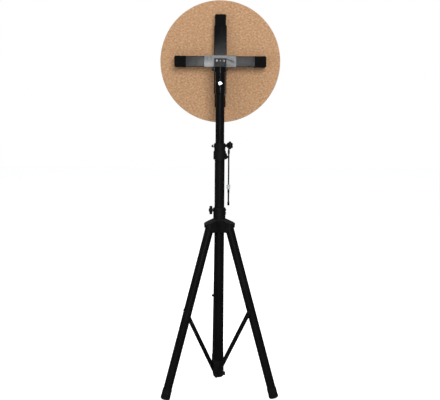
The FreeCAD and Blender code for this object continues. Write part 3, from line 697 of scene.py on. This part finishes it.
def build_board():
    """Flat disc with a rounded, slightly uneven rim."""
    back_round, face_round = 1.6, 0.8
    middle = (BOARD_BACK_Y + BOARD_FACE_Y) / 2
    profile = [(0.02, BOARD_BACK_Y)]
    profile += [(radius, BOARD_BACK_Y) for radius in BOARD_RADII]
    profile += arc(PAD_R - back_round, BOARD_BACK_Y + back_round, back_round, -90, 0, 6)
    profile += [(PAD_R, middle - 2), (PAD_R, middle + 2)]
    profile += arc(PAD_R - face_round, BOARD_FACE_Y - face_round, face_round, 0, 90, 4)
    profile += [(radius, BOARD_FACE_Y) for radius in reversed(BOARD_RADII)]
    profile += [(0.02, BOARD_FACE_Y)]

    def uneven(radius, z, angle):
        if radius < 238:
            return radius
        at = Vector((math.cos(angle) * 9, math.sin(angle) * 9, z * 0.15))
        return radius - 0.10 * (1 + noise.noise(at))

    mesh = bmesh.new()
    loft(mesh, turned(profile, PAD_SEGMENTS, uneven), PAD_MATRIX)
    add_object("pad_board_fibre", mesh, "board", "head", "pad_board")


def build_playing_surface():
    """Rubber sheet: rolled edge, slight crown, face not quite flat."""
    roll, crown, dip = 1.8, 0.42, 0.12
    profile = [(0.02, SHEET_BACK_Y)]
    profile += [(radius, SHEET_BACK_Y) for radius in SHEET_BACK_RADII]
    profile += [(PAD_R - 0.9, SHEET_BACK_Y), (PAD_R - 0.35, SHEET_BACK_Y + 0.6)]
    profile += arc(PAD_R - 0.15 - roll, SHEET_FACE_Y - 0.45 - roll, roll, 0, 90, 8)
    profile += [(radius, SHEET_FACE_Y - crown * (radius / PAD_R) ** 2)
                for radius in SHEET_FACE_RADII]
    profile.append((0.02, SHEET_FACE_Y))

    def wavy(radius, z, angle):
        return radius - (0.08 if radius > 237 else 0.0) * (1 + math.sin(angle * 3 + 1.0))

    mesh = bmesh.new()
    loft(mesh, turned(profile, PAD_SEGMENTS, wavy), PAD_MATRIX)
    for vert in mesh.verts:
        if vert.co.y > (81.5 + TUBE_Y) * MM:
            swell = noise.noise(Vector((vert.co.x * 16, vert.co.z * 16, 3.3)))
            vert.co.y -= dip * MM * (1 + swell)
    add_object("playing_surface_rubber", mesh, "face_rubber", "head", "playing_surface")


build_board()
build_playing_surface()


# ================================================================ rubber boots
BOOT_LENGTH, BOOT_HALF_WIDTH = 45.8, 22.3
CAVITY_HALF_WIDTH, CAVITY_CORNER, CAVITY_DEPTH = 21.05, 1.2, BOOT_LENGTH - 2.0
END_ROUND = 6.0                      # rounding of the closed end, across the width

# distance from the mouth, inset, corner radius
BOOT_MOUTH = [
    (0.0, 1.15, 2.0), (0.15, 0.5, 2.1), (0.6, 0.12, 2.2), (1.4, 0.0, 2.2), (3.2, 0.0, 2.2),
    (3.9, 0.15, 2.2), (4.4, 0.62, 2.2), (6.0, 0.66, 2.2), (9.0, 0.62, 2.2),
]
GROOVES_AT = (12.0, 17.0, 22.0)
# distance from the groove's middle, inset, corner radius
GROOVE = [(-1.4, 0.6, 2.2), (-0.8, 0.72, 2.1), (-0.3, 1.02, 2.0), (0.3, 1.02, 2.0),
          (0.8, 0.72, 2.1), (1.4, 0.6, 2.2)]
BOOT_MIDDLE = [(26.0, 0.55, 2.2), (32.0, 0.42, 2.3)]
# distance back from the closed end, inset, corner radius
BOOT_STEP = [(7.6, 0.3, 2.4), (6.4, 0.3, 2.4), (7.3, 0.5, 2.4), (6.9, 0.5, 2.4), (6.5, 0.08, 2.5)]

# side, end of the bar, outward direction, -Y face, cavity Y range
BOOTS = [
    ("top", (0, 0, 1528.5), Z_AXIS, 41.3, (42.95, 64.05)),
    ("bottom", (0, 0, 1163.5), -Z_AXIS, 41.3, (42.95, 64.05)),
    ("right", (182.5, 0, PAD_Z), X_AXIS, 25.0, (26.45, 41.05)),
    ("left", (-182.5, 0, PAD_Z), -X_AXIS, 25.0, (26.45, 41.05)),
]


def rounded_rectangle(half_x, half_y, radius, corners=(1, 1, 1, 1)):
    """Anticlockwise points; corners scales the radius at ++, -+, --, +-."""
    points = []
    signs = ((1, 1), (-1, 1), (-1, -1), (1, -1))
    for k, (sign_x, sign_y) in enumerate(signs):
        corner = max(radius * corners[k], 0.05)
        for i in range(7):
            angle = math.radians(90 * k + 90 * i / 6)
            points.append((sign_x * (half_x - corner) + corner * math.cos(angle),
                           sign_y * (half_y - corner) + corner * math.sin(angle)))
    return points


def build_boot(side, end, out_dir, near_y, cavity_y):
    """End boot against the board's back: a lipped mouth, three grooves, a step and a rounded
    closed end. Local Z runs outwards from the mouth and local Y towards the board."""
    matrix = place(Vector(end) - out_dir * BOOT_LENGTH, Y_AXIS.cross(out_dir), out_dir)
    middle_y = (near_y + BOARD_BACK_Y) / 2
    half_y = (BOARD_BACK_Y - near_y) / 2

    def section(z, inset, corner, side_inset=None):
        # inset on the width and the -Y face; the +Y face stays flat against the board
        if side_inset is None:
            side_inset = inset
        points = rounded_rectangle(BOOT_HALF_WIDTH - side_inset, half_y - inset / 2, corner,
                                   corners=(0.35, 0.35, 1, 1))
        return [Vector((x, y + middle_y + inset / 2, z)) for x, y in points]

    stations = list(BOOT_MOUTH)
    for groove in GROOVES_AT:
        stations += [(groove + offset, inset, corner) for offset, inset, corner in GROOVE]
    stations += BOOT_MIDDLE
    stations += [(BOOT_LENGTH - back, inset, corner) for back, inset, corner in BOOT_STEP]
    rings = [section(*station) for station in stations]
    for i in range(9):
        angle = math.radians(90 * i / 8)
        rings.append(section(BOOT_LENGTH - END_ROUND + END_ROUND * math.sin(angle) * 0.999,
                             2.6 * (1 - math.cos(angle)), 2.6 + 1.2 * (i / 8),
                             END_ROUND * (1 - math.cos(angle))))
    # two shrinking rings close the end
    last = rings[-1]
    centre = sum(last, Vector()) / len(last)
    for shrink, rise in ((0.6, 0.01), (0.25, 0.02)):
        rings.append([centre + (point - centre) * shrink + Z_AXIS * rise for point in last])
    mesh = bmesh.new()
    outer = loft(mesh, rings, matrix, ends="open")
    cap(mesh, outer[-1], matrix @ (centre + Z_AXIS * 0.02))

    cavity_middle = sum(cavity_y) / 2
    outline = rounded_rectangle(CAVITY_HALF_WIDTH, (cavity_y[1] - cavity_y[0]) / 2, CAVITY_CORNER)
    cavity = [[Vector((x, y + cavity_middle, z)) for x, y in outline]
              for z in (0.0, BOOT_LENGTH / 2, CAVITY_DEPTH)]
    inner = loft(mesh, cavity, matrix, ends="open")
    cap(mesh, inner[-1], matrix @ Vector((0, cavity_middle, CAVITY_DEPTH)))
    bridge(mesh, outer[0], inner[0])
    add_object("boot_%s_rubber" % side, mesh, "boot_rubber", "head", "boot_" + side)


for boot in BOOTS:
    build_boot(*boot)


# ================================================================ rubber feet
FOOT_R, FOOT_LENGTH, FOOT_ROUND = 19.5, 41.0, 4.5
FOOT_MOUTH_BACK = 43.0               # mouth's distance up the leg from the floor point
SOCKET_DEPTH = 32.1
RIB_PITCH, RIB_START, RIB_COUNT = 5.0, 5.0, 3
RIB = [(18.8, 0), (19.05, 0.5), (19.45, 1.1), (19.48, 2.2), (19.05, 2.8), (18.78, 3.3),
       (18.76, 4.4)]                 # radius, distance from the rib's start


def build_foot(side):
    """Ferrule on a leg's end: rolled lip, three raised ribs, a sole cut flat near the floor."""
    compass = math.radians(LEG_ANGLE[side])
    outward = Vector((-math.sin(compass), math.cos(compass), 0))
    down_leg = (outward * math.sin(LEG_TILT) - Z_AXIS * math.cos(LEG_TILT)).normalized()
    mouth = (outward * PIVOT_R + Z_AXIS * PIVOT_Z
             + down_leg * (LEG_LENGTH - FOOT_MOUTH_BACK))
    matrix = place(mouth, outward, down_leg)
    profile = [(17.58, 0.0)]
    profile += arc(18.45, 0.85, 0.85, 180, 270, 3)[1:]
    profile += arc(18.45, 0.85, 0.95, -60, 30, 4)
    profile += [(18.95, 2.2), (18.85, 4.0)]
    for k in range(RIB_COUNT):
        profile += [(radius, RIB_START + RIB_PITCH * k + z) for radius, z in RIB]
    profile += [(18.8, 21.0), (19.0, 24.0), (19.3, 28.0), (FOOT_R, 32.0), (FOOT_R, 36.0)]
    profile += arc(FOOT_R - FOOT_ROUND, FOOT_LENGTH - FOOT_ROUND, FOOT_ROUND, 0, 90, 8)
    profile += [(10.0, FOOT_LENGTH), (0.02, FOOT_LENGTH)]
    socket = [(0.02, SOCKET_DEPTH), (17.0, SOCKET_DEPTH), (17.56, 31.4), (17.56, 16.0)]
    mesh = bmesh.new()
    outer = loft(mesh, turned(profile, 72), matrix, ends="open")
    cap(mesh, outer[-1], matrix @ (Z_AXIS * FOOT_LENGTH))
    inner = loft(mesh, turned(socket, 72), matrix, ends="open")
    cap(mesh, inner[0], matrix @ (Z_AXIS * SOCKET_DEPTH))
    bridge(mesh, outer[0], inner[-1])
    bmesh.ops.recalc_face_normals(mesh, faces=mesh.faces)
    # cut the sole flat just above the floor and fill it
    cut = bmesh.ops.bisect_plane(mesh, geom=mesh.verts[:] + mesh.edges[:] + mesh.faces[:],
                                 dist=1e-7, plane_co=(0, 0, 0.00002), plane_no=(0, 0, -1),
                                 clear_outer=True)
    rim = [edge for edge in cut["geom_cut"] if isinstance(edge, bmesh.types.BMEdge)]
    bmesh.ops.contextual_create(mesh, geom=rim)
    add_object("foot_rubber_" + side, mesh, "foot_rubber", "leg_" + side, "rubber_foot_" + side)


for side in LEG_ANGLE:
    build_foot(side)


# ================================================================ knobs
# distance out from the tube's axis, radius, depth of the six scallops as a share of the radius
STAR_PROFILE = [
    (30.1, 5.2, 0), (30.4, 5.8, 0), (31.2, 6.0, 0), (42.0, 6.0, 0), (54.0, 6.0, 0), (56.0, 6.4, 0),
    (57.6, 7.2, 0), (58.3, 7.8, 0), (58.4, 8.8, 0), (58.4, 10.8, 0), (58.0, 11.4, 0.02),
    (56.6, 11.6, 0.02), (55.9, 12.2, 0.05), (55.56, 13.3, 0.10), (55.52, 14.6, 0.155),
    (55.7, 15.7, 0.19), (56.2, 16.3, 0.205), (57.0, 16.5, 0.21), (59.0, 16.5, 0.21),
    (60.2, 16.3, 0.205), (61.0, 15.7, 0.185), (61.45, 14.7, 0.15), (61.65, 13.2, 0.09),
    (61.68, 11.4, 0.03), (61.6, 9.8, 0), (61.65, 8.8, 0), (61.95, 8.2, 0), (62.5, 7.95, 0),
    (62.95, 7.4, 0), (63.15, 6.4, 0), (63.1, 4.0, 0), (63.0, 2.4, 0), (62.9, 0.03, 0),
]
# bores and boss: radius, distance out from the tube's axis
STAR_BORE = [(3.04, 30.0), (3.04, 42.0), (3.04, 54.4), (0.03, 54.4)]
BOSS_PROFILE = [
    (6.2, 27.15), (6.9, 27.4), (7.15, 28.0), (7.15, 31.0), (7.1, 36.0), (7.05, 40.6), (6.8, 41.7),
    (6.2, 42.6), (5.2, 43.12), (3.4, 43.28), (0.03, 43.28),
]
BOSS_BORE = [(3.04, 27.1), (3.04, 34.9), (0.03, 34.9)]
# distance out from the tube's axis, scale of the wing's outline
WING_STATIONS = [(28.45, 0.62), (28.6, 0.80), (29.1, 0.93), (29.9, 0.99), (31.2, 1.0), (38.2, 1.0),
                 (39.2, 0.985), (39.8, 0.92), (40.2, 0.80), (40.35, 0.60)]
WING_HALF_LENGTH = 17.3


def build_star_knob():
    """Six-lobed knob: scalloped head hollow underneath, raised boss, bored straight neck."""
    matrix = place((0, 0, STAR_Z), Z_AXIS, STAR_DIR)
    segments = 144

    def lobed(radius, depth, angle):
        crest = 0.5 + 0.5 * math.cos(6 * angle)
        return radius * (1.0 - depth * (1 - crest) ** 1.15)

    rings = [circle(z, segments, lambda angle: lobed(radius, depth, angle))
             for z, radius, depth in STAR_PROFILE]
    mesh = bmesh.new()
    outer = loft(mesh, rings, matrix, ends="open")
    cap(mesh, outer[-1], matrix @ (Z_AXIS * STAR_PROFILE[-1][0]))
    bore = loft(mesh, turned(STAR_BORE, segments), matrix, ends="open")
    cap(mesh, bore[-1], matrix @ (Z_AXIS * STAR_BORE[-1][1]))
    bridge(mesh, outer[0], bore[0])
    add_object("star_knob", mesh, "black_plastic", "lock_knob", "lock_knob")


def wing_outline(z, scale):
    """Long oval with a waist; a smaller scale pulls in its ends and thins it."""
    shrink = 1 - scale
    ring = []
    for i in range(96):
        angle = math.tau * i / 96
        x = WING_HALF_LENGTH * math.cos(angle)
        sine = math.sin(angle)
        half_width = (4.35 - 0.6 * math.exp(-(x / 6.0) ** 2)
                      + 0.2 * (abs(x) / WING_HALF_LENGTH) ** 2)
        y = half_width * math.copysign(abs(sine) ** 0.72, sine)
        pull = math.copysign(min(abs(x), shrink * 4.2), x) if abs(x) > 6 else 0.0
        ring.append(Vector((x - pull, y * (1 - shrink * 0.9), z)))
    return ring


def build_t_knob():
    """Wing knob pointing along -X: a bored round boss and an upright thumb wing."""
    matrix = place((0, 0, T_KNOB_Z), Z_AXIS, -X_AXIS)
    mesh = bmesh.new()
    outer = loft(mesh, turned(BOSS_PROFILE, 72), matrix, ends="open")
    bore = loft(mesh, turned(BOSS_BORE, 72), matrix, ends="open")
    cap(mesh, outer[-1], matrix @ (Z_AXIS * BOSS_PROFILE[-1][1]))
    cap(mesh, bore[-1], matrix @ (Z_AXIS * BOSS_BORE[-1][1]))
    bridge(mesh, outer[0], bore[0])
    add_object("t_knob_boss", mesh, "black_plastic", "hub_knob", "hub_knob")
    mesh = bmesh.new()
    loft(mesh, [wing_outline(z, scale) for z, scale in WING_STATIONS], matrix)
    add_object("t_knob_wing", mesh, "black_plastic", "hub_knob")


build_star_knob()
build_t_knob()


# ================================================================ cord, stop, pin
LOOP_R = 9.7
CORD_TOP, CORD_BOTTOM = STAR_Z - 9.9, 822.1
WHIPPING_TOP, WHIPPING_LENGTH, WHIPPING_R = 991.5, 14.2, 3.75
STRANDS = {"radius": 1.78, "sides": 10, "strands": 3, "strand_offset": 1.58}
CORD_MATRIX = place((CORD_AT.x, CORD_AT.y, 0), X_AXIS, Z_AXIS)

# stop and pin: radius, height above the floor
STOP_PROFILE = [
    (3.46, 833.5), (3.9, 833.1), (4.9, 833.0), (5.9, 833.15), (7.0, 833.9), (7.7, 835.0),
    (7.98, 836.3), (7.95, 837.4), (7.7, 838.0), (7.55, 838.8), (7.5, 841.7), (7.55, 844.7),
    (7.7, 845.5), (7.95, 846.1), (7.98, 847.2), (7.7, 848.5), (7.0, 849.6), (5.9, 850.35),
    (4.9, 850.5), (3.9, 850.4), (3.46, 850.0), (3.46, 845.0), (3.46, 838.0),
]
PIN_NOSE = [(0.02, 764.4), (2.0, 764.45), (2.8, 764.8), (3.8, 765.7), (4.4, 766.6), (4.55, 767.4)]
GRIP_START, GRIP_PITCH, GRIP_BANDS = 768.0, 1.3, 8
GRIP_BAND = [(4.58, 0), (4.58, 0.55), (4.3, 0.8), (4.3, 1.05)]  # radius, height in the band
PIN_SHANK = [
    (4.55, 778.2), (4.4, 778.9), (3.8, 779.9), (3.45, 780.5), (3.4, 781.2), (3.38, 800.0),
    (3.38, 812.0), (3.15, 812.4), (3.15, 813.4), (3.4, 813.8), (3.4, 815.8), (3.9, 816.5),
    (4.25, 817.1), (4.3, 818.0), (4.3, 829.2), (4.2, 830.2), (3.95, 830.85), (3.7, 831.0),
    (3.46, 830.7), (3.46, 822.0), (0.02, 822.0),
]


def build_cord():
    """Three-strand cord: a loop round the knob's neck, then straight down with a faint sway."""
    mesh = bmesh.new()
    across = Vector((-STAR_DIR.y, STAR_DIR.x, 0))
    loop = []
    for i in range(96):
        angle = math.tau * i / 96 - math.pi / 2
        loop.append(CORD_AT + across * (LOOP_R * math.cos(angle))
                    + Vector((0, 0, STAR_Z + LOOP_R * math.sin(angle))))
    sweep(mesh, loop, closed=True, turns=4, **STRANDS)
    heights = [CORD_TOP - (CORD_TOP - CORD_BOTTOM) * i / 260 for i in range(261)]
    hanging = [Vector((CORD_AT.x + 0.05 * math.sin(z * 0.05), CORD_AT.y, z)) for z in heights]
    sweep(mesh, hanging, turns=12, **STRANDS)
    # whipping: tight coils round the hanging part, just under the loop
    coil = []
    for i in range(300):
        angle = math.tau * i / 30
        coil.append(Vector((CORD_AT.x + WHIPPING_R * math.cos(angle),
                            CORD_AT.y + WHIPPING_R * math.sin(angle),
                            WHIPPING_TOP - WHIPPING_LENGTH * i / 299)))
    sweep(mesh, coil, radius=0.83, sides=8)
    add_object("pin_cord_twisted", mesh, "cord", "pin_line", "pin_cord")


def build_cord_stop():
    """Hollow bead with end rims and a shallow waist with 16 fine flutes."""
    def fluted(radius, z, angle):
        if 838.5 < z < 845.0 and radius > 6:
            return radius + 0.12 * math.cos(16 * angle) - 0.1
        return radius

    mesh = bmesh.new()
    loft(mesh, turned(STOP_PROFILE, 80, fluted), CORD_MATRIX, ends="joined")
    add_object("cord_stop_barrel", mesh, "clear_plastic", "pin_line", "cord_stop")


def build_pin():
    """Turned pin: tapered nose, knurled bands, thin shank, hollow ferrule on top."""
    profile = list(PIN_NOSE)
    for k in range(GRIP_BANDS):
        profile += [(radius, GRIP_START + GRIP_PITCH * k + z) for radius, z in GRIP_BAND]
    profile += PIN_SHANK

    def knurled(radius, z, angle):
        if 767.9 < z < 777.9 and radius > 4.4:
            return radius - 0.16 * abs(math.sin(9 * angle))
        return radius

    mesh = bmesh.new()
    loft(mesh, turned(profile, 72, knurled), CORD_MATRIX)
    add_object("safety_pin_turned", mesh, "black_screw", "pin_line", "safety_pin")


build_cord()
build_cord_stop()
build_pin()


# ================================================================ stage, light, camera
def build_stage():
    """White floor that glows a little, to the camera only."""
    mat = Material("studio_white")
    colour = mat.blend((0.80, 0.80, 0.80), (0.82, 0.82, 0.82),
                       mat.noise(scale=1.3, detail=3, rough=0.5))
    mat.finish(colour, rough=0.9, spec=0.1)
    glow = mat.node("ShaderNodeEmission")
    glow.inputs["Strength"].default_value = 0.86
    camera_ray = mat.node("ShaderNodeLightPath").outputs["Is Camera Ray"]
    lit = mat.node("ShaderNodeAddShader")
    mat.link(mat.shader.outputs[0], lit.inputs[0])
    mat.link(glow.outputs[0], lit.inputs[1])
    surface = mix_shader(mat.tree, camera_ray, mat.shader.outputs[0], lit.outputs[0])
    mat.link(surface, mat.output.inputs[0])
    mesh = bmesh.new()
    bmesh.ops.create_grid(mesh, x_segments=8, y_segments=8, size=9.0)
    data = bpy.data.meshes.new("studio_floor")
    mesh.to_mesh(data)
    mesh.free()
    floor = bpy.data.objects.new("studio_floor", data)
    floor.location.z = -0.0004
    bpy.context.scene.collection.objects.link(floor)
    data.materials.append(mat.material)
    floor.visible_glossy = False


WARM, COOL = (1.0, 0.985, 0.965), (0.98, 0.99, 1.0)
# name, place and aimed height on the tube's axis in metres, width and height in metres,
# watts, colour, seen in reflections
LIGHTS = [
    ("key_softbox", (0.75, -2.75, 2.55), 1.2, (1.9, 1.7), 66, WARM, False),
    ("key_gloss", (1.25, -2.25, 2.55), 1.2, (0.5, 0.8), 5.0, WARM, True),
    ("eye_soft", (0.01, -2.80, 1.474), 1.34, (0.58, 0.13), 1.3, COOL, True),
    ("leg_gloss", (-0.05, -3.1, 0.55), 0.5, (0.25, 0.9), 1.3, COOL, True),
    ("pole_gloss", (0.04, -3.1, 1.06), 1.12, (0.10, 0.30), 9.0, COOL, True),
    ("fill_left", (-2.3, -1.8, 1.5), 0.9, (1.6, 1.8), 20, (0.97, 0.985, 1.0), False),
    ("back_soft", (0.6, 2.6, 2.3), 1.1, (1.8, 1.5), 42, (1.0, 0.99, 0.975), False),
    ("back_strip", (-1.2, 2.4, 1.2), 0.9, (0.4, 1.8), 7, COOL, True),
    ("top_soft", (0, -0.2, 3.2), 0.9, (1.6, 1.6), 16, (1, 1, 1), False),
]


def add_light(name, location, aim_z, size, power, colour, glossy):
    light = bpy.data.lights.new(name, "AREA")
    light.shape = "RECTANGLE"
    light.size, light.size_y = size
    light.energy = power
    light.color = colour
    light.spread = math.radians(180)
    lamp = bpy.data.objects.new(name, light)
    lamp.location = Vector(location) + Vector((0, TUBE_Y * MM, 0))
    aim = Vector((0, 0, aim_z)) - Vector(location)
    lamp.rotation_mode = "QUATERNION"
    lamp.rotation_quaternion = aim.to_track_quat("-Z", "Y")
    bpy.context.scene.collection.objects.link(lamp)
    lamp.visible_glossy = glossy
    lamp.visible_camera = False
    # this one makes highlights only
    if name == "pole_gloss":
        lamp.visible_diffuse = False


def build_world():
    """White to the camera, a dim cool grey to other rays, dimmer still in reflections."""
    world = bpy.data.worlds.new("studio_world")
    bpy.context.scene.world = world
    world.use_nodes = True
    tree = world.node_tree
    tree.nodes.clear()
    output = tree.nodes.new("ShaderNodeOutputWorld")

    def background(colour, strength):
        node = tree.nodes.new("ShaderNodeBackground")
        node.inputs["Color"].default_value = (*colour, 1)
        node.inputs["Strength"].default_value = strength
        return node.outputs[0]

    cool = (0.95, 0.97, 1.0)
    seen = background((1, 1, 1), strength=1.0)
    ambient = background(cool, strength=0.16)
    rays = tree.nodes.new("ShaderNodeLightPath").outputs
    reflected = background(cool, strength=0.08)
    unseen = mix_shader(tree, rays["Is Glossy Ray"], ambient, reflected)
    tree.links.new(mix_shader(tree, rays["Is Camera Ray"], unseen, seen), output.inputs[0])


def build_camera():
    """Camera on the -Y side, looking along +Y and a little down."""
    yaw, pitch, roll = 0.00129274, 0.15065168, 0.0064709   # radians
    forward = Vector((math.sin(yaw) * math.cos(pitch), math.cos(yaw) * math.cos(pitch),
                      -math.sin(pitch)))
    level_right = Vector((math.cos(yaw), -math.sin(yaw), 0))
    level_up = level_right.cross(forward)
    right = level_right * math.cos(roll) + level_up * math.sin(roll)
    up = level_up * math.cos(roll) - level_right * math.sin(roll)
    lens = bpy.data.cameras.new("camera")
    lens.sensor_width = 36.0
    lens.lens = 55.0094727
    lens.clip_start = 0.05
    lens.clip_end = 60
    camera = bpy.data.objects.new("camera", lens)
    pose = Matrix((right, up, -forward)).transposed().to_4x4()
    pose.translation = Vector((-1.1812, -2692.117 + TUBE_Y, 1201.136)) * MM
    camera.matrix_world = pose
    bpy.context.scene.collection.objects.link(camera)
    bpy.context.scene.camera = camera


build_stage()
for light_row in LIGHTS:
    add_light(*light_row)
build_world()
build_camera()

view = bpy.context.scene.view_settings
view.view_transform = "Standard"
view.look = "None"
view.exposure = 0.0
view.gamma = 1.0
